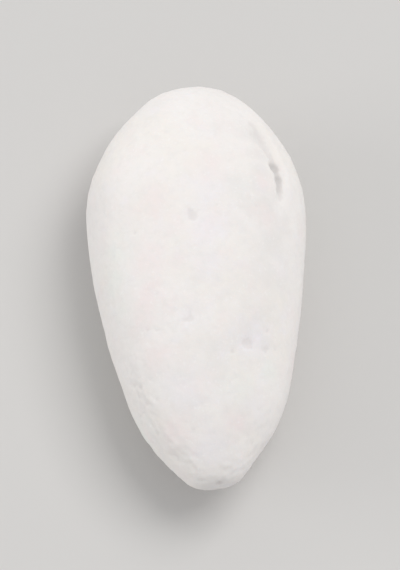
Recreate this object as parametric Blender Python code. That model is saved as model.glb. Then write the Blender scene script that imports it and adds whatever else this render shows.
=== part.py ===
"""A sugared almond: a whole almond under a thick, matt shell of white sugar, lying on its broad side.

The long axis is Y, with the blunt tip at -Y and the round end at +Y. X runs across the almond, and Z up
through its thickness. The origin is on the surface that it lies on, under the middle of its box.

Two numbers place a point on the shell. Its station runs along the length, from -1 at the tip to 1 at the
round end. Its angle runs round the girth: 0 at the edge on the +X side, then over the top to the other edge.
"""

from math import atan2, cos, exp, hypot, log1p, pi, radians, sin, sqrt, tan
from random import Random

import bmesh
import bpy
from mathutils import Vector, noise

# Driving sizes, in metres. The length is the one before the tip is cut off.
LENGTH = 0.0330
WIDTH = 0.0169
THICKNESS = 0.0128
FLAT_SPOT_DEPTH = 0.0004

# The outline from above and from the side: how much fuller the round end is, and how much of the swells shows
PLAN_TAPER, PLAN_SWELL = 0.178, 1.0
SIDE_TAPER, SIDE_SWELL = 0.12, 0.5

# What share of the thickness is above the almond's edge
UPPER_SHARE = 0.53

# The middle stands this far off the line between the two ends, to the -X side
BOW = 0.00012

# How much of the tip is missing, so that it ends blunt, and how round that blunt end's edge is
TIP_CUT = 0.0005
TIP_EDGE = 0.00022

# Where the girth is fuller or leaner than a plain taper gives: station, spread and share of the girth
SWELLS = (
    (0.50, 0.30, 0.090),
    (-0.33, 0.25, -0.014),
    (-0.66, 0.12, 0.022),
    (-0.94, 0.15, -0.138),
)
OUTLINE_STEPS = 200

# How finely the surface is divided: quads along a quarter of the girth
QUADS_PER_QUARTER = 22

# The uneven build-up of sugar, in metres: how wide each kind is, and how far it stands in or out
LUMP_WIDTH, LUMP_HEIGHT = 0.0052, 0.00014
PEBBLE_WIDTH, PEBBLE_HEIGHT = 0.0019, 0.00005
PEBBLE_PHASE = Vector((7.0, 3.0, 5.0))

# The almond's edge under the sugar: a soft ridge down both sides, with its full height only near the tip
SEAM_WIDTH, SEAM_HEIGHT = 0.0020, 0.00009
SEAM_ROUND_END_SHARE = 0.3
SEAM_STATIONS = (0.1, -0.8)

# The crest on the upper face, from which the shell turns down to the +X side
CREST_ANGLE = radians(63)
CREST_WIDTH, CREST_HEIGHT = 0.0026, 0.00016

# The fold near the round end: a valley with a lip on its outer side. It climbs towards the round end
FOLD_STATIONS = (0.26, 0.47, 0.85)
FOLD_ANGLES = (radians(37), radians(45))
FOLD_WIDTH, FOLD_DEPTH = 0.00060, 0.00031
LIP_OFFSET, LIP_WIDTH, LIP_HEIGHT = 0.0010, 0.0007, 0.00014

# Dimples that show on the upper face: x, y, radius and depth, in metres
SHOWN_DIMPLES = (
    (-0.0003, 0.0038, 0.00075, 0.00012),
    (0.0033, -0.0061, 0.00085, 0.00014),
    (-0.0012, -0.0041, 0.00070, 0.00009),
)

# Dimples scattered over the rest of the shell
SCATTERED_DIMPLES = 16
FURTHEST_STATION = 0.9
DIMPLE_RADII = (0.0005, 0.0009)
DIMPLE_DEPTHS = (0.00005, 0.00012)
DIMPLE_SEED = 11

# The sugar shell's finish, measured in linear light
SUGAR_COLOUR = (0.87, 0.83, 0.80, 1.0)
SUGAR_ROUGHNESS = 0.75

# Points nearer to each other than this count as one
SAME_PLACE = 1e-6


def clear_scene():
    for thing in list(bpy.data.objects):
        bpy.data.objects.remove(thing)


def smooth_step(low, high, value):
    """Eases from 0 at low to 1 at high. Low may also be the larger of the two."""
    share = min(1.0, max(0.0, (value - low) / (high - low)))
    return share * share * (3 - 2 * share)


def bell(distance, width):
    return exp(-((distance / width) ** 2))


def girth(station, taper, swell):
    """The girth at a station, as a share of the girth that a plain ball has in its middle."""
    swelling = sum(share * bell(station - at, spread) for at, spread, share in SWELLS)
    return (1 + taper * station) * (1 + swell * swelling)


def fullest(taper, swell):
    """The largest share of the girth along the almond, by which WIDTH and THICKNESS stay the real sizes."""
    stations = [2 * step / OUTLINE_STEPS - 1 for step in range(OUTLINE_STEPS + 1)]
    return max(sqrt(1 - station**2) * girth(station, taper, swell) for station in stations)


def blunted(along):
    """The distance along the almond, which levels off at the blunt tip."""
    end = TIP_CUT - LENGTH / 2
    return end + TIP_EDGE * log1p(exp((along - end) / TIP_EDGE))


def almond_form():
    """A function that gives the plain almond's point for a direction from its middle."""
    half_width = WIDTH / 2 / fullest(PLAN_TAPER, PLAN_SWELL)
    thickness = THICKNESS / fullest(SIDE_TAPER, SIDE_SWELL)

    def place(direction):
        station = direction.y
        bowed = BOW * (1 - station**2)
        side = UPPER_SHARE if direction.z > 0 else 1 - UPPER_SHARE
        return Vector(
            (
                direction.x * half_width * girth(station, PLAN_TAPER, PLAN_SWELL) - bowed,
                blunted(station * LENGTH / 2),
                direction.z * thickness * side * girth(station, SIDE_TAPER, SIDE_SWELL),
            )
        )

    return place


def ball_of_quads():
    """A cube cut into a grid, with twice as many quads along Y, and blown up to a ball of radius 1."""
    ball = bmesh.new()
    bmesh.ops.create_cube(ball, size=2.0)

    def cut(axes, quads):
        edges = []
        for edge in ball.edges:
            run = edge.verts[0].co - edge.verts[1].co
            if any(abs(run[axis]) > SAME_PLACE for axis in axes):
                edges.append(edge)
        bmesh.ops.subdivide_edges(ball, edges=edges, cuts=quads - 1, use_grid_fill=True)

    cut((1,), 2 * QUADS_PER_QUARTER)
    cut((0, 2), QUADS_PER_QUARTER)
    for vert in ball.verts:
        evenly_spread = Vector([tan(pi / 4 * share) for share in vert.co])
        vert.co = evenly_spread.normalized()
    return ball


def fold_relief(station, angle, radius):
    """The fold in the shell, which is deepest at one station and fades towards both ends."""
    low, deepest, high = FOLD_STATIONS
    fading = smooth_step(low if station < deepest else high, deepest, station)
    start, end = FOLD_ANGLES
    middle = start + (end - start) * (station - low) / (high - low)
    across = (angle - middle) * radius
    valley = FOLD_DEPTH * bell(across, FOLD_WIDTH)
    lip = LIP_HEIGHT * bell(across + LIP_OFFSET, LIP_WIDTH)
    return fading * (lip - valley)


def seam_relief(station, angle, radius):
    """The ridge over the almond's edge, on both sides."""
    strength = SEAM_ROUND_END_SHARE + (1 - SEAM_ROUND_END_SHARE) * smooth_step(*SEAM_STATIONS, station)
    from_edge = min(abs(angle), pi - abs(angle)) * radius
    return SEAM_HEIGHT * strength * bell(from_edge, SEAM_WIDTH)


def crest_relief(station, angle, radius):
    """The long low crest on the upper face, highest in the middle of the almond."""
    return CREST_HEIGHT * (1 - station**2) * bell((angle - CREST_ANGLE) * radius, CREST_WIDTH)


def grain_relief(point):
    """Broad lumps of sugar, with small pebbles on them."""
    lumps = noise.noise(point / LUMP_WIDTH)
    pebbles = noise.noise(point / PEBBLE_WIDTH + PEBBLE_PHASE)
    return LUMP_HEIGHT * lumps + PEBBLE_HEIGHT * pebbles


def shown_dimples(form):
    """The upper face's dimples, as (centre, radius, depth), each on the vertex nearest to its x and y."""
    upper = [vert.co for vert in form.verts if vert.co.z > 0]
    dimples = []
    for x, y, radius, depth in SHOWN_DIMPLES:
        centre = min(upper, key=lambda co: hypot(co.x - x, co.y - y)).copy()
        dimples.append((centre, radius, depth))
    return dimples


def scattered_dimples(place):
    """Dimples anywhere on the shell, as (centre, radius, depth), drawn from a seeded generator."""
    draw = Random(DIMPLE_SEED)
    dimples = []
    for _ in range(SCATTERED_DIMPLES):
        station = draw.uniform(-FURTHEST_STATION, FURTHEST_STATION)
        angle = draw.uniform(-pi, pi)
        out = sqrt(1 - station**2)
        centre = place(Vector((out * cos(angle), station, out * sin(angle))))
        dimples.append((centre, draw.uniform(*DIMPLE_RADII), draw.uniform(*DIMPLE_DEPTHS)))
    return dimples


def dimple_relief(point, dimples):
    return -sum(depth * bell((point - centre).length, radius) for centre, radius, depth in dimples)


def almond_mesh():
    """The almond as one closed mesh: the plain form, pushed in or out along its normals by the relief."""
    form = ball_of_quads()
    place = almond_form()
    directions = [vert.co.copy() for vert in form.verts]
    for vert, direction in zip(form.verts, directions):
        vert.co = place(direction)
    form.normal_update()
    dimples = shown_dimples(form) + scattered_dimples(place)
    for vert, direction in zip(form.verts, directions):
        station = direction.y
        angle = atan2(direction.z, direction.x)
        radius = hypot(vert.co.x, vert.co.z)
        relief = (
            fold_relief(station, angle, radius)
            + seam_relief(station, angle, radius)
            + crest_relief(station, angle, radius)
            + grain_relief(vert.co)
            + dimple_relief(vert.co, dimples)
        )
        vert.co += vert.normal * relief
    return form


def press_flat_spot(form):
    """Cuts the small flat that the almond rests on, and closes it with one flat face."""
    height = min(vert.co.z for vert in form.verts) + FLAT_SPOT_DEPTH
    for vert in form.verts:
        if abs(vert.co.z - height) < SAME_PLACE:
            vert.co.z = height + SAME_PLACE
    cut = bmesh.ops.bisect_plane(
        form,
        geom=form.verts[:] + form.edges[:] + form.faces[:],
        dist=0.0,
        plane_co=(0, 0, height),
        plane_no=(0, 0, 1),
        clear_inner=True,
    )
    rim = [piece for piece in cut["geom_cut"] if isinstance(piece, bmesh.types.BMEdge)]
    for edge in rim:
        for vert in edge.verts:
            vert.co.z = height
    bmesh.ops.edgeloop_fill(form, edges=rim)
    bmesh.ops.recalc_face_normals(form, faces=form.faces)


def stand_on_origin(form):
    """Moves the almond so that its box's middle is over the origin and its flat spot is at height zero."""
    lowest = Vector([min(vert.co[axis] for vert in form.verts) for axis in range(3)])
    highest = Vector([max(vert.co[axis] for vert in form.verts) for axis in range(3)])
    middle = (lowest + highest) / 2
    bmesh.ops.translate(form, verts=form.verts, vec=(-middle.x, -middle.y, -lowest.z))


def sugar_material():
    sugar = bpy.data.materials.new("white_sugar_shell")
    sugar.use_nodes = True
    sugar.diffuse_color = SUGAR_COLOUR
    shader = sugar.node_tree.nodes["Principled BSDF"]
    shader.inputs["Base Color"].default_value = SUGAR_COLOUR
    shader.inputs["Roughness"].default_value = SUGAR_ROUGHNESS
    shader.inputs["Metallic"].default_value = 0.0
    return sugar


def build_almond():
    form = almond_mesh()
    press_flat_spot(form)
    stand_on_origin(form)
    mesh = bpy.data.meshes.new("sugared_almond")
    form.to_mesh(mesh)
    form.free()
    mesh.shade_smooth()
    mesh.materials.append(sugar_material())
    almond = bpy.data.objects.new("sugared_almond", mesh)
    bpy.context.scene.collection.objects.link(almond)


def main():
    clear_scene()
    build_almond()


main()
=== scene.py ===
# %% [markdown]
# A sugared almond
#
# A sugared almond is a whole almond that has tumbled in a turning pan while syrup was poured over it,
# coat after coat, until a thick white shell of fine sugar stood round it. The shell is matt like chalk,
# a little uneven, and never one flat white: it goes faintly pink where the nut's skin shows through,
# and greyish in patches. Some of the grey on this shell is painted shade.
#
# The imported model is a solid of the right size and form. This lesson loads it, fits a much finer shell
# over it, and gives that shell its lumps, pits and finish. The solid is loaded first, because
# everything here is measured from it.

# %% Load the imported almond
from math import cos, exp, log, pi, radians, sin, tan
from random import Random

import bmesh
import bpy
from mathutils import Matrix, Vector, noise
from mathutils.bvhtree import BVHTree
from mathutils.kdtree import KDTree


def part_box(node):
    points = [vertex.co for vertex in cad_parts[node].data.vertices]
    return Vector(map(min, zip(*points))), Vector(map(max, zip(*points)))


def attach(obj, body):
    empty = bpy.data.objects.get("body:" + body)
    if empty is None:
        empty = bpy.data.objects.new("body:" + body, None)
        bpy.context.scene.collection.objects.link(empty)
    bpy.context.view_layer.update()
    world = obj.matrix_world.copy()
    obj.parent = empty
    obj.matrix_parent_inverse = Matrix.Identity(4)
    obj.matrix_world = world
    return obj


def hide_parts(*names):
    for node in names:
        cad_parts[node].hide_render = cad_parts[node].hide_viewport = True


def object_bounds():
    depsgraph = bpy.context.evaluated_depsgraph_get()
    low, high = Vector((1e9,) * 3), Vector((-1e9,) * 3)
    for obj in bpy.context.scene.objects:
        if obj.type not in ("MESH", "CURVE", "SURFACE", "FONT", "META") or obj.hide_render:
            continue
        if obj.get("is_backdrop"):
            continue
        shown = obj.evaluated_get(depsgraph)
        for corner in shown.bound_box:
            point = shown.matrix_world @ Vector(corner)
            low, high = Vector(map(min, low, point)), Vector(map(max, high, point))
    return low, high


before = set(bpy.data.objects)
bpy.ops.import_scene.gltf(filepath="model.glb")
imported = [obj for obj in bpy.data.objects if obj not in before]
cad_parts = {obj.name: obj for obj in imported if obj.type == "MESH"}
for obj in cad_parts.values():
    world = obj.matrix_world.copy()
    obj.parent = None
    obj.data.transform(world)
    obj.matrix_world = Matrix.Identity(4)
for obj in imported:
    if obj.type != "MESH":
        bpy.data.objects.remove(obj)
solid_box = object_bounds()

MM = 0.001
low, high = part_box("sugared_almond")
middle = (low + high) / 2
size = high - low
print("The almond is", [round(side / MM, 1) for side in size], "mm")

# %% [markdown]
# The camera
#
# The photo looks down on the almond from the front, about 20 degrees off straight down, and the almond
# leans a little: its tip points down and slightly to the right. Turning the camera round the almond
# gives the same lean as turning the almond would, and leaves the part where it is. The almond's tip is
# nearer to the camera than its round end, and a near camera would draw the tip too wide. So the camera
# stands more than a metre away, with a long lens.

# %% Place the camera
ELEVATION = radians(70)
LEAN = radians(3.2)
LENS_MM = 1000
SENSOR_MM = 36
# How much of the picture's height the almond fills
SHARE_OF_HEIGHT = 0.70

towards = Vector((-sin(LEAN) * cos(ELEVATION), -cos(LEAN) * cos(ELEVATION), sin(ELEVATION)))
seen_length = size.y * sin(ELEVATION)
# The sensor is fitted to the picture's longer side, which is its height
distance = seen_length / SHARE_OF_HEIGHT * LENS_MM / SENSOR_MM

camera_data = bpy.data.cameras.new("product_camera")
camera_data.lens = LENS_MM
camera_data.sensor_width = SENSOR_MM
camera = bpy.data.objects.new("product_camera", camera_data)
camera.location = middle + towards * distance
camera.rotation_euler = (-towards).to_track_quat("-Z", "Y").to_euler()
bpy.context.scene.collection.objects.link(camera)
bpy.context.scene.camera = camera
print("The camera is", round(distance, 3), "m away")

# %% [markdown]
# The floor
#
# A white thing is hard to photograph: on a white floor its edges vanish. So the floor here is a pale
# warm grey, a little darker than the sugar. A curved backdrop would hide the horizon too, but one flat
# sheet, wide enough that its edge stays out of low views, is plainer and throws no line of its own.

# %% Lay the floor
FLOOR_SIDE = 4.0
FLOOR_FINISH = {"Base Color": (0.65, 0.64, 0.625, 1.0), "Roughness": 0.9, "Specular IOR Level": 0.2}


def set_sockets(node, values):
    """Sets a node's sockets, each by its name."""
    for name, value in values.items():
        node.inputs[name].default_value = value


def floor_material():
    matt = bpy.data.materials.new("pale_floor")
    matt.use_nodes = True
    set_sockets(matt.node_tree.nodes["Principled BSDF"], FLOOR_FINISH)
    return matt


def lay_floor():
    sheet = bmesh.new()
    bmesh.ops.create_grid(sheet, x_segments=1, y_segments=1, size=FLOOR_SIDE / 2)
    mesh = bpy.data.meshes.new("floor")
    sheet.to_mesh(mesh)
    sheet.free()
    mesh.materials.append(floor_material())
    floor = bpy.data.objects.new("floor", mesh)
    bpy.context.scene.collection.objects.link(floor)
    floor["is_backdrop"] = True


lay_floor()
print("The floor is", FLOOR_SIDE, "m wide")

# %% [markdown]
# The light
#
# In the photo the almond is lit from above. Its round end is the brightest and its tip the darkest, and
# its sides are nearly as bright as its top. One lamp overhead would leave the sides dim. So the main
# soft box hangs high on the right, two weaker ones stand low on the left and behind, and an even,
# bright surrounding fills the rest. Each lamp was first tried alone, and these strengths give the
# photo's shading when they are added.

# %% Hang the soft boxes
# Each lamp: its name, the direction that it stands in, and its watts
LAMPS = (
    ("key_light", Vector((0.40, 0.22, 0.90)), 10.2),
    ("left_fill", Vector((-0.95, 0.05, 0.25)), 5.9),
    ("back_fill", Vector((0.00, 0.97, 0.25)), 1.3),
)
BOX_DISTANCE, BOX_SIDE = 1.5, 0.85
BOX_COLOUR = (1.0, 0.99, 0.98)


def soft_box(name, direction, watts):
    """A square lamp that faces the almond, as a studio's soft box does."""
    lamp = bpy.data.lights.new(name, "AREA")
    lamp.shape = "SQUARE"
    lamp.size = BOX_SIDE
    lamp.energy = watts
    lamp.color = BOX_COLOUR
    holder = bpy.data.objects.new(name, lamp)
    holder.location = middle + direction.normalized() * BOX_DISTANCE
    holder.rotation_euler = (-direction).to_track_quat("-Z", "Y").to_euler()
    bpy.context.scene.collection.objects.link(holder)


for name, direction, watts in LAMPS:
    soft_box(name, direction, watts)
print("Soft boxes of", [watts for _, _, watts in LAMPS], "W")

# %% Light the surrounding
SURROUND = {"Color": (0.98, 0.985, 1.0, 1.0), "Strength": 0.573}

world = bpy.data.worlds.new("studio")
world.use_nodes = True
set_sockets(world.node_tree.nodes["Background"], SURROUND)
bpy.context.scene.world = world
# Standard shows the colours as they are, without a film's look
bpy.context.scene.view_settings.view_transform = "Standard"
print("An even surrounding of strength", SURROUND["Strength"])

# %% [markdown]
# A fine ball to start from
#
# The shell needs points about an eighth of a millimetre apart, so that its lumps and pits are real
# shapes and not only shading. A sphere made of rings would crowd its points at two poles, just where
# the almond has its ends. A cube that is cut into a grid and blown up has no poles and nearly even
# quads, so it is the better start. The almond is twice as long as it is wide, and so the cube gets
# twice as many cuts along Y.

# %% Make the ball
# The axes that run along the almond, and across it
LENGTHWISE, CROSSWISE = (1,), (0, 2)
COARSE_QUADS = 33
FINE_CUTS = 2
SAME_PLACE = 1e-6


def edges_along(ball, axes):
    """The ball's edges that run along one of these axes."""
    found = []
    for edge in ball.edges:
        run = edge.verts[0].co - edge.verts[1].co
        if any(abs(run[axis]) > SAME_PLACE for axis in axes):
            found.append(edge)
    return found


def fine_ball():
    """A cube from -1 to 1, cut into a grid. The tangent spreads the grid evenly over the ball."""
    ball = bmesh.new()
    bmesh.ops.create_cube(ball, size=2.0)
    for axes, quads in ((LENGTHWISE, 2 * COARSE_QUADS), (CROSSWISE, COARSE_QUADS)):
        bmesh.ops.subdivide_edges(ball, edges=edges_along(ball, axes), cuts=quads - 1, use_grid_fill=True)
    bmesh.ops.subdivide_edges(ball, edges=ball.edges, cuts=FINE_CUTS, use_grid_fill=True)
    for vert in ball.verts:
        evenly_spread = Vector([tan(pi / 4 * share) for share in vert.co])
        vert.co = evenly_spread.normalized()
    return ball


shell = fine_ball()
print("The ball has", len(shell.verts), "points and", len(shell.faces), "quads")

# %% [markdown]
# Fit the ball to the almond
#
# The shell has to lie on the solid all over. A Shrinkwrap modifier could pull it there, but it draws
# points together where the solid is curved most. Here each point of the ball is thrown outwards from
# the almond's middle until it meets the solid, so the points stay spread. That is a ray cast against a
# search tree of the solid's faces. The solid is left alone: the tree is made from a merged copy.

# %% Throw the points onto the solid
def search_tree(node):
    copy = bmesh.new()
    copy.from_mesh(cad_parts[node].data)
    bmesh.ops.remove_doubles(copy, verts=copy.verts, dist=SAME_PLACE)
    tree = BVHTree.FromBMesh(copy)
    copy.free()
    return tree


solid = search_tree("sugared_almond")


def thrown_outwards(direction):
    """Where a ray from the middle meets the solid. It takes a ball's direction, stretched to the almond."""
    stretched = Vector([direction[axis] * size[axis] for axis in range(3)])
    return solid.ray_cast(middle, stretched)[0]


for vert in shell.verts:
    vert.co = thrown_outwards(vert.co)
shell.normal_update()
print("The shell lies on the solid, up to", round(max(vert.co.z for vert in shell.verts) / MM, 2), "mm high")

# %% [markdown]
# Rub away the facets
#
# The solid is made of flat triangles half a millimetre wide, and the shell now has them too. Smoothing
# moves each point towards the mean of its neighbours. Two dozen light passes reach just about one
# facet far, so the facets go, and the almond's own form stays.

# %% Smooth the shell
SMOOTH_PASSES = 24
SMOOTH_FACTOR = 0.5


def rub(form, passes):
    for _ in range(passes):
        bmesh.ops.smooth_vert(
            form, verts=form.verts, factor=SMOOTH_FACTOR, use_axis_x=True, use_axis_y=True, use_axis_z=True
        )


rub(shell, SMOOTH_PASSES)
shell.normal_update()
shell.verts.ensure_lookup_table()
print("Smoothed", SMOOTH_PASSES, "times")

# %% [markdown]
# Find places on the shell
#
# The next steps press and raise small places. Some are seen in the photo, and they are named by where
# the camera sees them: so many millimetres to the right of the middle of the almond's outline, and so
# many above it. A ray along the camera's own line finds the spot on the solid, so each one sits on the
# surface from every side.

# %% Find a spot that the camera sees
rightwards = Vector((cos(LEAN), -sin(LEAN), 0))
upwards = towards.cross(rightwards)


def outline_middle():
    """The middle of the almond's outline, as the camera sees it."""
    across = [(vert.co - middle).dot(rightwards) for vert in shell.verts]
    up = [(vert.co - middle).dot(upwards) for vert in shell.verts]
    return middle + rightwards * (min(across) + max(across)) / 2 + upwards * (min(up) + max(up)) / 2


seen_middle = outline_middle()


def seen_at(across, up):
    """The spot that is seen so many millimetres right of the outline's middle, and so many above it."""
    start = seen_middle + rightwards * across * MM + upwards * up * MM + towards * size.y
    return solid.ray_cast(start, -towards)[0]


print("The outline's middle sees a spot", round(seen_at(0, 0).z / MM, 2), "mm above the floor")

# %% [markdown]
# Sum the heights first
#
# If each step moved the points at once, the next one would measure from a surface that is already
# rough. So the heights are summed in one list, and the points move once, at the end. The points near a
# spot come from a second search tree, and a bell curve fades each height out round its spot.

# %% Start the sums
relief = [0.0] * len(shell.verts)
points = KDTree(len(shell.verts))
for vert in shell.verts:
    points.insert(vert.co, vert.index)
points.balance()


def bell(distance, width):
    """1 at no distance, about a third at one width, and next to nothing past two widths."""
    return exp(-((distance / width) ** 2))


print("The sums start at 0 for", len(relief), "points")

# %% [markdown]
# The build-up of sugar
#
# Syrup dries unevenly while the almonds rub on each other, so the shell grows low, round pebbles one or
# two millimetres wide that meet in soft creases. Cell noise gives such pebbles: it measures how far a
# place is from the nearest of many scattered centres. It has sharp creases where two centres are
# equally near, so the four nearest are averaged, with most weight on the nearest one.

# %% Shape the pebbles
# Each size of pebble: how wide it is, and how strongly it is raised
PEBBLE_SIZES = ((1.8 * MM, 0.072 * MM), (0.95 * MM, 0.048 * MM))
# How high a pebble's crown grew, and where it is rubbed flat, as shares of that strength
GROWN_CROWN, RUBBED_CROWN = 0.3, 0.22
CREASE_SHARPNESS = 9


def from_centre(place):
    """The distance to the nearest cell's centre, with rounded creases between the cells."""
    distances, _ = noise.voronoi(place)
    return -log(sum(exp(-CREASE_SHARPNESS * each) for each in distances)) / CREASE_SHARPNESS


def pebbles(place):
    """Domes in each of the sizes, with their crowns rubbed flat."""
    height = 0.0
    for wide, strength in PEBBLE_SIZES:
        height += strength * min(RUBBED_CROWN, GROWN_CROWN - from_centre(place / wide) ** 2)
    return height


print("Pebbles in", len(PEBBLE_SIZES), "sizes")

# %% [markdown]
# Orange-peel, grit and wear
#
# A finer orange-peel and a still finer grit lie on the pebbles, and both are plain noise. The pebbles
# aren't equally strong all over: rubbing has worn them nearly flat in patches on the broad sides, and
# less at the ends. One more noise, with lumps of several millimetres, says how much of them is left.

# %% Raise the pebbles
PEEL_WIDTH, PEEL_HEIGHT = 0.55 * MM, 0.034 * MM
GRIT_WIDTH, GRIT_HEIGHT = 0.28 * MM, 0.010 * MM
# The share of the pebbles that is left at the middle, what the ends have more, and how late it rises
LEFT_AT_MIDDLE, MORE_AT_ENDS, END_POWER = 0.5, 0.6, 4
# How much that share varies, in patches of this width, and the least and most that it may be
LEFT_VARIES, WEAR_WIDTH = 0.9, 4.5 * MM
LEFT_LEAST, LEFT_MOST = 0.15, 1.4
# Each noise is read a different way off, so that their lumps don't line up
PHASE = Vector((13.0, 5.0, 2.0))


def lumps(place, width, height, phase):
    """Plain noise with lumps of this width. It runs from about minus this height to this height."""
    return height * noise.noise(place / width + phase)


def share_left(place):
    """How much of the pebbles rubbing has left at a place."""
    towards_end = abs(place.y - middle.y) / (size.y / 2)
    share = LEFT_AT_MIDDLE + MORE_AT_ENDS * towards_end**END_POWER
    share += lumps(place, WEAR_WIDTH, LEFT_VARIES, -PHASE)
    return min(LEFT_MOST, max(LEFT_LEAST, share))


for vert in shell.verts:
    coat = pebbles(vert.co) + lumps(vert.co, PEEL_WIDTH, PEEL_HEIGHT, PHASE)
    grit = lumps(vert.co, GRIT_WIDTH, GRIT_HEIGHT, -PHASE)
    relief[vert.index] += share_left(vert.co) * coat + grit
print("Pebbles from", round(min(relief) / MM, 3), "to", round(max(relief) / MM, 3), "mm")

# %% [markdown]
# The rough strip
#
# Low on the left edge and at the tip the photo shows a rougher coat, with lumps of less than half a
# millimetre. Cell noise would look too neat there, so this is plain noise again. Its height fades out
# round a few spots along the edge, and where two of them overlap, only the stronger one counts.

# %% Roughen the low left edge
# Each rough place: where it is seen and its radius, in millimetres
ROUGH_SEEN = (
    (-4.5, -7.8, 1.2),
    (-3.9, -9.3, 1.3),
    (-2.9, -10.9, 1.2),
    (-1.8, -12.3, 1.1),
    (-0.5, -13.6, 1.0),
    (2.6, -13.8, 1.0),
)
ROUGH_WIDTH, ROUGH_HEIGHT = 0.42 * MM, 0.085 * MM

rough_spots = [(seen_at(across, up), radius * MM) for across, up, radius in ROUGH_SEEN]


def in_rough_strip(place):
    """How much a place belongs to the rough strip: 1 in the middle of a spot, and 0 far from them all."""
    return max(bell((place - spot).length, radius) for spot, radius in rough_spots)


for vert in shell.verts:
    relief[vert.index] += in_rough_strip(vert.co) * lumps(vert.co, ROUGH_WIDTH, ROUGH_HEIGHT, 2 * PHASE)
print("With the rough strip from", round(min(relief) / MM, 3), "to", round(max(relief) / MM, 3), "mm")

# %% [markdown]
# The crease in the fold
#
# Near the round end the shell has a fold, and the solid has its valley and its lip. At the bottom of
# the valley the sugar didn't close: a broken crease runs down it, broad and soft at the top, with two
# dark nicks in its lower half, and outside it the lip has a sharper ridge. A crease could be cut as an
# edge loop, but its width and depth change all the way, so a line of spots down the valley is easier.
# Each spot has its own width and depth, and noise makes the line wander. How deep each point went is
# kept as an attribute too, because the finish paints shade into the crease by how deep it is.

# %% Draw the crease's line
# Each stop on a line: where it is seen, its width and its depth, all in millimetres
CREASE_STOPS = (
    (3.90, 13.9, 0.60, 0.00),
    (4.25, 13.0, 0.85, 0.07),
    (4.50, 12.2, 1.00, 0.12),
    (4.72, 11.6, 1.00, 0.14),
    (5.08, 10.9, 0.75, 0.11),
    (5.44, 10.4, 0.48, 0.10),
    (5.72, 9.90, 0.32, 0.13),
    (5.88, 9.62, 0.30, 0.18),
    (6.00, 9.34, 0.44, 0.38),
    (6.09, 9.10, 0.42, 0.36),
    (6.20, 8.72, 0.28, 0.20),
    (6.33, 8.40, 0.36, 0.34),
    (6.40, 7.95, 0.34, 0.25),
    (6.44, 7.45, 0.34, 0.23),
    (6.42, 7.00, 0.32, 0.13),
    (6.36, 6.30, 0.34, 0.00),
)
STEPS_TO_NEXT_STOP = 16
# How far the line wanders, and over what length, in millimetres
WANDER, WANDER_LENGTH = 0.10, 0.6


def line_through(stops):
    """Spots along a line on the solid, each with its width and its depth."""
    line = []
    for stop, after in zip(stops, stops[1:]):
        for step in range(STEPS_TO_NEXT_STOP):
            share = step / STEPS_TO_NEXT_STOP
            across, up, width, depth = [a + (b - a) * share for a, b in zip(stop, after)]
            across += WANDER * noise.noise(Vector((up / WANDER_LENGTH, 0, 0)))
            line.append((seen_at(across, up), width * MM, depth * MM))
    return line


crease = line_through(CREASE_STOPS)
print("The crease is a line of", len(crease), "spots")

# %% Press the crease
# How many widths away a point still feels the line
LINE_REACH = 3
# How ragged a pressed edge is, and how wide its bumps are
RAGGED_SHARE, RAGGED_WIDTH = 0.25, 0.22 * MM
# The depth at which a nick's painted shade is at its darkest
NICK_DEPTH = 0.30 * MM


def ragged(away, place, share, width):
    """A distance made longer or shorter by up to this share, so that an edge isn't a smooth curve."""
    return away * (1 + share * noise.noise(place / width))


def press_line(line):
    """Each point near the line sinks by the depth of the spot that it is nearest to, for its width."""
    nearest = KDTree(len(line))
    touched = set()
    for step, (spot, width, _) in enumerate(line):
        nearest.insert(spot, step)
        touched.update(index for _, index, _ in points.find_range(spot, LINE_REACH * width))
    nearest.balance()
    pressed = {}
    for index in touched:
        place = shell.verts[index].co
        _, step, away = nearest.find(place)
        _, width, depth = line[step]
        pressed[index] = depth * bell(ragged(away, place, RAGGED_SHARE, RAGGED_WIDTH), width)
        relief[index] -= pressed[index]
    return pressed


nick = shell.verts.layers.float.new("nick")
shell.verts.ensure_lookup_table()
sunk = press_line(crease)
for index, depth in sunk.items():
    shell.verts[index][nick] = min(1.0, depth / NICK_DEPTH)
print("The crease is up to", round(max(sunk.values()) / MM, 2), "mm deep")

# %% Raise the ridge beside it
# A negative depth raises the line
RIDGE_STOPS = (
    (4.60, 13.2, 0.40, 0.00),
    (5.25, 12.3, 0.40, -0.07),
    (5.75, 11.3, 0.40, -0.10),
    (6.10, 10.6, 0.36, -0.09),
    (6.55, 9.70, 0.36, -0.09),
    (6.90, 8.80, 0.36, -0.09),
    (7.10, 7.80, 0.38, -0.08),
    (7.15, 6.80, 0.40, -0.04),
    (7.10, 5.80, 0.40, 0.00),
)

raised = press_line(line_through(RIDGE_STOPS))
print("The ridge is up to", round(-min(raised.values()) / MM, 2), "mm high")

# %% [markdown]
# The groove along the seam
#
# An almond has a seam down its edge. Under the sugar it shows only as a faint, uneven groove, which
# follows the left edge down to the tip. It is a few hundredths of a millimetre deep, which is too
# little for the solid's triangles, and the tool for the crease draws it well.

# %% Press the groove
GROOVE_STOPS = (
    (-5.00, -6.4, 0.50, 0.00),
    (-4.75, -7.2, 0.55, 0.03),
    (-4.30, -8.5, 0.60, 0.05),
    (-3.85, -9.6, 0.55, 0.03),
    (-3.25, -10.7, 0.60, 0.05),
    (-2.60, -11.6, 0.55, 0.03),
    (-1.90, -12.5, 0.60, 0.05),
    (-1.20, -13.3, 0.55, 0.03),
    (-0.40, -14.0, 0.50, 0.00),
)

sunk = press_line(line_through(GROOVE_STOPS))
print("The groove is up to", round(max(sunk.values()) / MM, 2), "mm deep")

# %% [markdown]
# Dimples, and the pits in them
#
# Knocks in the pan leave dimples in the shell, and bubbles in the syrup leave pits. The photo shows
# three dimples, with one or two darker pits in each. They could be cut with a Boolean, but that leaves
# a hard rim, and sugar has none. So the points near each spot sink by a bell curve, and noise makes its
# edge a little ragged.

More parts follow.
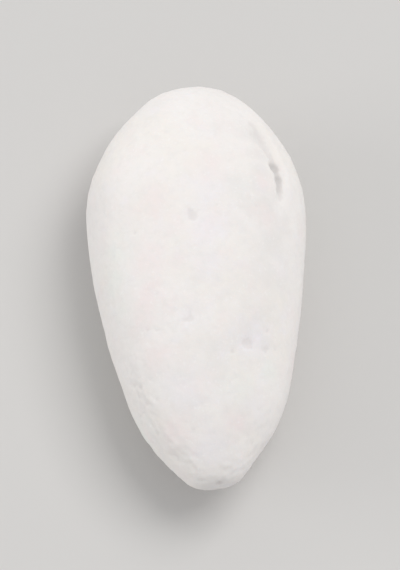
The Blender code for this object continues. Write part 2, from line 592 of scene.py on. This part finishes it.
# %% Press the dimples and their pits
# Each hollow: where it is seen, its radius and its depth, all in millimetres
DIMPLES_SEEN = (
    (-0.28, 5.44, 0.55, 0.05),
    (3.90, -4.25, 0.60, 0.06),
    (-0.64, -2.40, 0.50, 0.03),
)
PITS_IN_DIMPLES = (
    (-0.28, 5.42, 0.33, 0.050),
    (-0.48, 5.90, 0.26, 0.050),
    (3.90, -4.27, 0.40, 0.100),
    (-0.90, -2.48, 0.28, 0.040),
    (-0.42, -2.46, 0.28, 0.028),
)
# How many radii away a point still feels the hollow
HOLLOW_REACH = 2.5


def press(centre, radius, depth):
    """A soft round hollow, or a lump where the depth is negative."""
    for place, index, away in points.find_range(centre, HOLLOW_REACH * radius):
        relief[index] -= depth * bell(ragged(away, place, RAGGED_SHARE, RAGGED_WIDTH), radius)


def press_seen(hollows):
    for across, up, radius, depth in hollows:
        press(seen_at(across, up), radius * MM, depth * MM)


press_seen(DIMPLES_SEEN)
press_seen(PITS_IN_DIMPLES)
print("Pressed", len(DIMPLES_SEEN), "dimples, with", len(PITS_IN_DIMPLES), "pits in them")

# %% [markdown]
# The tip, and small marks
#
# The tip isn't a smooth cap: it has two small notches and two low lobes, where sugar closed unevenly
# over the point of the nut. Small marks lie beside the lower right dimple, on the rough strip and low
# on the right. They are all round and soft enough for the same tool.

# %% Shape the tip and press the marks
# Each hollow or lobe: where it is seen, its radius and its depth, all in millimetres
TIP_SHAPES = (
    (0.45, -14.8, 0.30, 0.12),
    (1.80, -15.0, 0.38, 0.20),
    (0.20, -15.0, 0.60, -0.07),
    (3.30, -13.6, 1.10, -0.10),
)
MARKS_SEEN = (
    (-3.75, -8.90, 0.22, 0.045),
    (-3.00, -8.60, 0.20, 0.035),
    (-4.35, -8.35, 0.20, 0.040),
    (-3.65, -10.2, 0.22, 0.045),
    (-4.05, -9.55, 0.18, 0.035),
    (5.36, -4.75, 0.38, 0.090),
    (5.48, -3.30, 0.28, 0.050),
    (2.85, -4.90, 0.30, 0.065),
    (5.80, -9.40, 0.28, 0.035),
    (4.30, -12.0, 0.26, 0.035),
)

press_seen(TIP_SHAPES)
press_seen(MARKS_SEEN)
print("Shaped the tip with", len(TIP_SHAPES), "spots, and pressed", len(MARKS_SEEN), "marks")

# %% [markdown]
# Pits and stuck grains all round
#
# Every side of a real shell has small pits, and small raised grains where loose sugar stuck to it while
# it was wet. They sit in no pattern. Placed by hand they would look arranged, so they are drawn from a
# seeded generator, which gives the same spots each time.

# %% Scatter the pits
SEED = 4
PITS = 30
PIT_RADII, PIT_DEPTHS = (0.10 * MM, 0.22 * MM), (0.015 * MM, 0.045 * MM)

draw = Random(SEED)


def anywhere():
    """A spot on the solid, drawn evenly over a ball's directions."""
    up = draw.uniform(-1, 1)
    turn = draw.uniform(-pi, pi)
    out = (1 - up * up) ** 0.5
    return thrown_outwards(Vector((out * cos(turn), out * sin(turn), up)))


for _ in range(PITS):
    press(anywhere(), draw.uniform(*PIT_RADII), draw.uniform(*PIT_DEPTHS))
print("Pressed", PITS, "pits")

# %% Raise the stuck grains
GRAINS = 60
GRAIN_RADII, GRAIN_HEIGHTS = (0.14 * MM, 0.34 * MM), (0.012 * MM, 0.035 * MM)

for _ in range(GRAINS):
    press(anywhere(), draw.uniform(*GRAIN_RADII), -draw.uniform(*GRAIN_HEIGHTS))
print("Raised", GRAINS, "grains")

# %% [markdown]
# Move the points
#
# Now each point moves along its normal by its sum. A Displace modifier could do this from a texture,
# but the sums are already known for each point. Nothing may reach through the floor, so points that
# went below it are pressed back up to the flat spot that the almond lies on.

# %% Push the relief out
for vert in shell.verts:
    vert.co += vert.normal * relief[vert.index]
    vert.co.z = max(vert.co.z, low.z)
shell.normal_update()
print("Relief from", round(min(relief) / MM, 3), "to", round(max(relief) / MM, 3), "mm")

# %% [markdown]
# Know the hollows
#
# The finish paints shade into hollows, so it needs to know where they are. A second copy of the
# shell, rubbed until its small relief is gone, tells: where the rubbed copy stands above the real
# shell, there is a hollow. The result is stored on the points, as an attribute that a material can
# read.

# %% Measure the hollows
HOLLOW_PASSES = 40
# The depth at which a hollow counts in full, and the share of it that counts as deep
HOLLOW_DEPTH = 0.034 * MM
DEEP_SHARE = 0.5

rubbed = shell.copy()
rub(rubbed, HOLLOW_PASSES)
rubbed.verts.ensure_lookup_table()
hollow = shell.verts.layers.float.new("hollow")
for vert in shell.verts:
    depth = (rubbed.verts[vert.index].co - vert.co).dot(vert.normal)
    vert[hollow] = min(1.0, max(-1.0, depth / HOLLOW_DEPTH))
rubbed.free()
deep = sum(1 for vert in shell.verts if vert[hollow] > DEEP_SHARE)
print("Points that lie deep in a hollow:", deep)

# %% [markdown]
# Know the tinted patches
#
# The shell shows four faint tints: pink where the coat is thin and the nut's skin shows through, grey in
# patches near the tip and low on the left, and as painted shade along the fold and in a band down the
# right side, where the surface turns from the light, lavender where it is milky, as down the middle and
# round the dimples, and green where it is glassy, as on the left edge. Noise alone would put them
# anywhere, and a painted image would stretch on the sides. So they are stored on the points too, as
# soft spots with noise in their edge, and more of them are drawn for the side that isn't seen.

# %% Draw patches for the hidden side
DRAWN_PATCHES = 20
DRAWN_RADII, DRAWN_STRENGTH = (1.2, 2.6), 1.0


def turned_away(spot):
    """Whether the solid at this spot faces away from the camera."""
    return solid.find_nearest(spot)[1].dot(towards) < 0


def drawn_patches():
    """Patches anywhere on the almond. Those that the camera would see are dropped."""
    drawn = [(anywhere(), draw.uniform(*DRAWN_RADII) * MM, DRAWN_STRENGTH) for _ in range(DRAWN_PATCHES)]
    return [patch for patch in drawn if turned_away(patch[0])]


print("Up to", DRAWN_PATCHES, "patches of each tint are drawn for the hidden side")

# %% Mark where the coat is thin
# Each patch: where it is seen and its radius, in millimetres, and its strength
THIN_SEEN = (
    (-3.5, 2.0, 1.4, 1.0),
    (-3.8, -1.0, 1.3, 1.2),
    (-3.0, 6.8, 1.4, 0.9),
    (1.2, 9.6, 1.1, 0.9),
    (5.2, 8.0, 0.7, 1.0),
    (5.4, 5.3, 0.9, 0.8),
    (-3.2, -5.2, 1.1, 0.8),
    (-1.4, -11.0, 1.2, 0.9),
    (3.2, -10.3, 0.9, 1.2),
)
# How many radii away a point still feels the patch, and how ragged the patch's edge is
PATCH_REACH = 2
EDGE_SHARE, EDGE_WIDTH = 0.7, 0.9 * MM


def mark(name, seen):
    """Stores how much each point lies in the patches: the seen ones, and drawn ones on the hidden side."""
    layer = shell.verts.layers.float.new(name)
    spots = [(seen_at(across, up), radius * MM, strength) for across, up, radius, strength in seen]
    spots += drawn_patches()
    for centre, radius, strength in spots:
        for _, index, away in points.find_range(centre, PATCH_REACH * radius):
            vert = shell.verts[index]
            edge = ragged(away, vert.co, EDGE_SHARE, EDGE_WIDTH)
            vert[layer] = max(vert[layer], strength * bell(edge, radius))
    print(name, "has", len(spots), "patches")


mark("thin_coat", THIN_SEEN)

# %% Mark the grey patches and the painted shade
# Grey patches. Those from the fold down the right side are painted shade, where the surface turns from the
# light; the others darken the tip, the lower right dimple and the low left.
GREY_AND_SHADE_SEEN = (
    (3.4, 7.8, 0.9, 0.8),
    (4.4, 11.6, 1.1, 1.4),
    (4.8, 10.2, 0.9, 1.6),
    (5.0, 9.0, 0.9, 1.7),
    (5.0, 7.8, 0.9, 1.6),
    (5.3, 6.6, 0.9, 1.2),
    (5.5, 5.4, 1.1, 1.0),
    (5.7, 3.4, 1.6, 1.7),
    (5.6, 0.8, 1.6, 1.3),
    (5.2, -1.8, 1.5, 1.1),
    (5.0, -4.4, 1.2, 1.3),
    (3.8, -4.0, 1.3, 1.9),
    (1.4, -4.8, 1.1, 1.0),
    (-4.6, -3.4, 1.3, 1.1),
    (-3.6, -6.2, 1.5, 1.3),
    (-1.2, -7.8, 2.2, 1.5),
    (-0.4, -12.6, 2.0, 1.3),
    (-4.2, -8.6, 1.3, 1.0),
    (-3.0, -11.3, 1.1, 0.9),
    (3.6, -13.0, 1.1, 0.6),
)

mark("grey_and_painted_shade", GREY_AND_SHADE_SEEN)

# %% Mark where it is milky
MILKY_SEEN = (
    (0.7, 4.6, 1.5, 1.3),
    (1.0, 1.8, 1.4, 0.9),
    (1.3, 7.6, 1.1, 0.8),
    (-0.6, -2.2, 1.0, 0.8),
    (4.1, -4.2, 1.4, 1.2),
    (-1.0, -7.8, 1.5, 0.9),
    (1.4, -12.0, 1.4, 0.9),
    (4.5, -8.8, 1.0, 0.8),
    (6.6, 1.5, 0.9, 0.6),
)

mark("milky_coat", MILKY_SEEN)

# %% Mark where it is glassy
GLASSY_SEEN = (
    (-6.2, 0.4, 1.2, 1.0),
    (-6.2, 2.6, 1.2, 0.9),
    (-5.6, -1.6, 0.9, 0.6),
    (3.5, 7.8, 0.8, 0.4),
    (5.7, -6.4, 0.9, 0.9),
    (3.3, -7.7, 1.1, 0.6),
)

mark("glassy_coat", GLASSY_SEEN)

# %% [markdown]
# The shell as an object
#
# The bmesh is only a workbench: it has to become a mesh, and the mesh an object, before Blender draws
# it. The shell takes the solid's place and moves with its body. Its faces are shaded smooth, because
# the sugar has no sharp edge that is wider than a crystal.

# %% Make the shell an object
mesh = bpy.data.meshes.new("sugar_shell")
shell.to_mesh(mesh)
shell.free()
mesh.shade_smooth()
almond = bpy.data.objects.new("sugar_shell", mesh)
bpy.context.scene.collection.objects.link(almond)
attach(almond, "root")
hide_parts("sugared_almond")
print("The shell has", 2 * len(mesh.polygons), "triangles")

# %% [markdown]
# The sugar's finish
#
# White sugar is not paint. Light goes a little way in and comes out softened, its colour wanders
# between cream, pink and grey, and the surface is a felt of tiny crystals, too small for the mesh. So
# the finish has four parts: a colour mixed from slow noise and the patches, a roughness that is never
# even, a fine grain that only bends the light, and a little light let in under the surface. An image
# could hold the first three, but nodes stay sharp at any size, and the same on every side.

# %% Start the finish
sugar = bpy.data.materials.new("white_sugar_shell")
sugar.use_nodes = True
tree = sugar.node_tree
shader = tree.nodes["Principled BSDF"]
centring = tree.nodes.new("ShaderNodeMapping")
set_sockets(centring, {"Location": -middle})
on_object = tree.nodes.new("ShaderNodeTexCoord").outputs["Object"]
tree.links.new(on_object, centring.inputs["Vector"])
mesh.materials.append(sugar)
print("The finish is measured from the almond's middle")

# %% [markdown]
# The colour, one glaze over another
#
# The colour could be one noise with many stops, but then its tints would always touch in the same
# order. It is built as a cook would glaze it: each layer is mixed over the last one, as far as its own
# share says. The first layer wanders slowly between white and cream. It needs three helpers: a noise, a
# step that turns part of a noise into a share, and a mixer.

# %% Make a slow wander
def cloud(width, detail, seed):
    """Noise whose lumps are this wide. It runs from about 0.2 to 0.8."""
    field = tree.nodes.new("ShaderNodeTexNoise")
    field.noise_dimensions = "4D"
    set_sockets(field, {"W": seed, "Scale": 1 / width, "Detail": detail})
    tree.links.new(centring.outputs["Vector"], field.inputs["Vector"])
    return field.outputs["Fac"]


def spread(value, start, end, least=0.0, most=1.0):
    """Eases a value from least to most while it runs from start to end."""
    step = tree.nodes.new("ShaderNodeMapRange")
    step.interpolation_type = "SMOOTHSTEP"
    set_sockets(step, {"From Min": start, "From Max": end, "To Min": least, "To Max": most})
    tree.links.new(value, step.inputs["Value"])
    return step.outputs["Result"]


wander = spread(cloud(width=5.5 * MM, detail=2, seed=1.0), start=0.40, end=0.66)
print("The wander takes", len(tree.nodes), "nodes")

# %% Let it run from white to cream
WHITE = (0.898, 0.869, 0.847, 1.0)
CREAM = (0.890, 0.858, 0.820, 1.0)


def blend(share, under, over):
    """Mixes two colours, each of them an output or a plain colour."""
    mixer = tree.nodes.new("ShaderNodeMix")
    mixer.data_type = "RGBA"
    sockets = {socket.identifier: socket for socket in mixer.inputs}
    tree.links.new(share, sockets["Factor_Float"])
    for name, value in (("A_Color", under), ("B_Color", over)):
        if isinstance(value, tuple):
            sockets[name].default_value = value
        else:
            tree.links.new(value, sockets[name])
    return next(socket for socket in mixer.outputs if socket.identifier == "Result_Color")


colour = blend(wander, WHITE, CREAM)
print("The ground colour takes", len(tree.nodes), "nodes")

# %% [markdown]
# Grey, lavender, pink and green
#
# Each tint shows in its stored patches. Grey, lavender and pink also come and go in small clouds
# between them, as no part of the shell is quite even, so their share is a sum of the two. Green shows
# only in its patches. Grey comes first, so that the other tints stay clear where they cross it.

# %% Lay the grey over it
GREY = (0.832, 0.809, 0.788, 1.0)


def stored(name):
    """The value that the points carry under this name."""
    reader = tree.nodes.new("ShaderNodeAttribute")
    reader.attribute_name = name
    return reader.outputs["Fac"]


def reckon(operation, first, second):
    """Adds or multiplies two values, each of them an output or a number."""
    reckoner = tree.nodes.new("ShaderNodeMath")
    reckoner.operation = operation
    for socket, value in zip(reckoner.inputs, (first, second)):
        if isinstance(value, (int, float)):
            socket.default_value = value
        else:
            tree.links.new(value, socket)
    return reckoner.outputs["Value"]


def tinted(under, tint, patches, patch_share, clouds):
    """A tint over a colour, in its stored patches and in clouds of its own."""
    share = reckon("ADD", reckon("MULTIPLY", stored(patches), patch_share), clouds)
    return blend(share, under, tint)


grey_clouds = spread(cloud(width=2.2 * MM, detail=3, seed=3.0), start=0.50, end=0.75, most=0.60)
# The grey patches hold painted shade along the fold and down the right side.
colour = tinted(colour, GREY, "grey_and_painted_shade", patch_share=0.6, clouds=grey_clouds)
print("With the grey it takes", len(tree.nodes), "nodes")

# %% Lay lavender, pink and green over it
LAVENDER = (0.888, 0.858, 0.880, 1.0)
PINK = (0.897, 0.824, 0.810, 1.0)
GREEN = (0.870, 0.872, 0.836, 1.0)

milky_clouds = spread(cloud(width=1.6 * MM, detail=2, seed=10.0), start=0.52, end=0.75, most=0.42)
colour = tinted(colour, LAVENDER, "milky_coat", patch_share=0.6, clouds=milky_clouds)
pink_clouds = spread(cloud(width=1.9 * MM, detail=2, seed=2.0), start=0.50, end=0.75, most=0.40)
colour = tinted(colour, PINK, "thin_coat", patch_share=0.8, clouds=pink_clouds)
colour = blend(stored("glassy_coat"), colour, GREEN)
print("With all the tints it takes", len(tree.nodes), "nodes")

# %% [markdown]
# Mottling, crystals and shade
#
# Up close the sugar is mottled with fine grey specks half a millimetre wide, and with brighter crystals
# of a fifth of a millimetre. Both are noise. Over everything comes painted shade in the hollows, and
# deeper painted shade in the nicks, where less light gets out. The lamps alone leave them too light.

# %% Mottle it and shade the hollows
CRYSTAL = (0.95, 0.93, 0.92, 1.0)
SHADE = (0.79, 0.755, 0.74, 1.0)
DEEP_SHADE = (0.61, 0.59, 0.575, 1.0)

specks = spread(cloud(width=0.55 * MM, detail=2, seed=11.0), start=0.45, end=0.75, most=0.40)
crystals = spread(cloud(width=0.22 * MM, detail=2, seed=4.0), start=0.55, end=0.80, most=0.50)
colour = blend(specks, colour, GREY)
colour = blend(crystals, colour, CRYSTAL)
# Painted shade: darker in the hollows, and darker still in the nicks and the crease.
colour = blend(spread(stored("hollow"), start=0.05, end=1.0, most=0.55), colour, SHADE)
colour = blend(spread(stored("nick"), start=0.15, end=1.0, most=0.75), colour, DEEP_SHADE)
tree.links.new(colour, shader.inputs["Base Color"])
print("The whole colour takes", len(tree.nodes), "nodes")

# %% [markdown]
# The roughness
#
# The shell is matt, but not evenly: where it was rubbed it has a faint gleam, and in the hollows it has
# none. One number for the roughness would make it look cast in plaster. So a broad noise sets it, a
# fine one breaks that up, and the hollows add a little more.

# %% Vary the roughness
# The least and the most of each part
BROAD, FINE, IN_HOLLOWS = (0.64, 0.82), (-0.05, 0.06), (0.0, 0.10)
# Nearly all of a noise lies between these
NOISE_RANGE = (0.3, 0.7)

broad = spread(cloud(width=1.4 * MM, detail=3, seed=5.0), *NOISE_RANGE, *BROAD)
fine = spread(cloud(width=0.2 * MM, detail=2, seed=6.0), *NOISE_RANGE, *FINE)
in_hollows = spread(stored("hollow"), 0.0, 1.0, *IN_HOLLOWS)
roughness = reckon("ADD", reckon("ADD", broad, fine), in_hollows)
tree.links.new(roughness, shader.inputs["Roughness"])
least, most = (round(sum(ends), 2) for ends in zip(BROAD, FINE, IN_HOLLOWS))
print("Roughness from", least, "to", most)

# %% [markdown]
# The crystal grain
#
# The crystals cling together in clumps, and are themselves about a tenth of a millimetre wide. The
# shell's points lie further apart than that, and moving points for them would take millions. A bump
# only bends the light, which is enough for what is too small to show in the outline. It gets noise of
# three widths, from clumps to single crystals.

# %% Add the crystal grain
# Each layer: how wide its lumps are, how high they are in millimetres, and its seed
GRAIN_LAYERS = ((0.85 * MM, 0.013, 7.0), (0.30 * MM, 0.011, 8.0), (0.11 * MM, 0.006, 9.0))

height = 0.0
for width, height_mm, seed in GRAIN_LAYERS:
    height = reckon("ADD", height, reckon("MULTIPLY", cloud(width, detail=2, seed=seed), height_mm))
bump = tree.nodes.new("ShaderNodeBump")
set_sockets(bump, {"Strength": 1.0, "Distance": MM})
tree.links.new(height, bump.inputs["Height"])
tree.links.new(bump.outputs["Normal"], shader.inputs["Normal"])
print("Grain in", len(GRAIN_LAYERS), "widths")

# %% [markdown]
# Light in the sugar
#
# Light goes less than a millimetre into sugar and comes out beside where it went in, which softens the
# shading of the small lumps. Red goes a little deeper than blue, so thin edges stay warm. Glass-like
# transmission would need many bounces and would look wet. A little scattering under the surface is
# enough, with a weak gloss and the broad, chalky shading of a powder.

# %% Let some light in
SUGAR_BODY = {
    "Diffuse Roughness": 0.3,
    "Specular IOR Level": 0.35,
    "Subsurface Weight": 0.12,
    "Subsurface Radius": (1.0, 0.85, 0.75),
    "Subsurface Scale": 0.4 * MM,
}

set_sockets(shader, SUGAR_BODY)
print("The finish is done, with", len(tree.nodes), "nodes")

# %% [markdown]
# Compare the sizes
#
# The shell must be as big as the solid that it stands for, so the largest gap between their boxes is
# printed.

# %% Compare the sizes and finish
off_by = 0.0
for shell_corner, solid_corner in zip(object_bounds(), solid_box):
    off_by = max(off_by, *(abs(a - b) for a, b in zip(shell_corner, solid_corner)))
print("The shell's box and the solid's differ by up to", round(off_by / MM, 3), "mm")
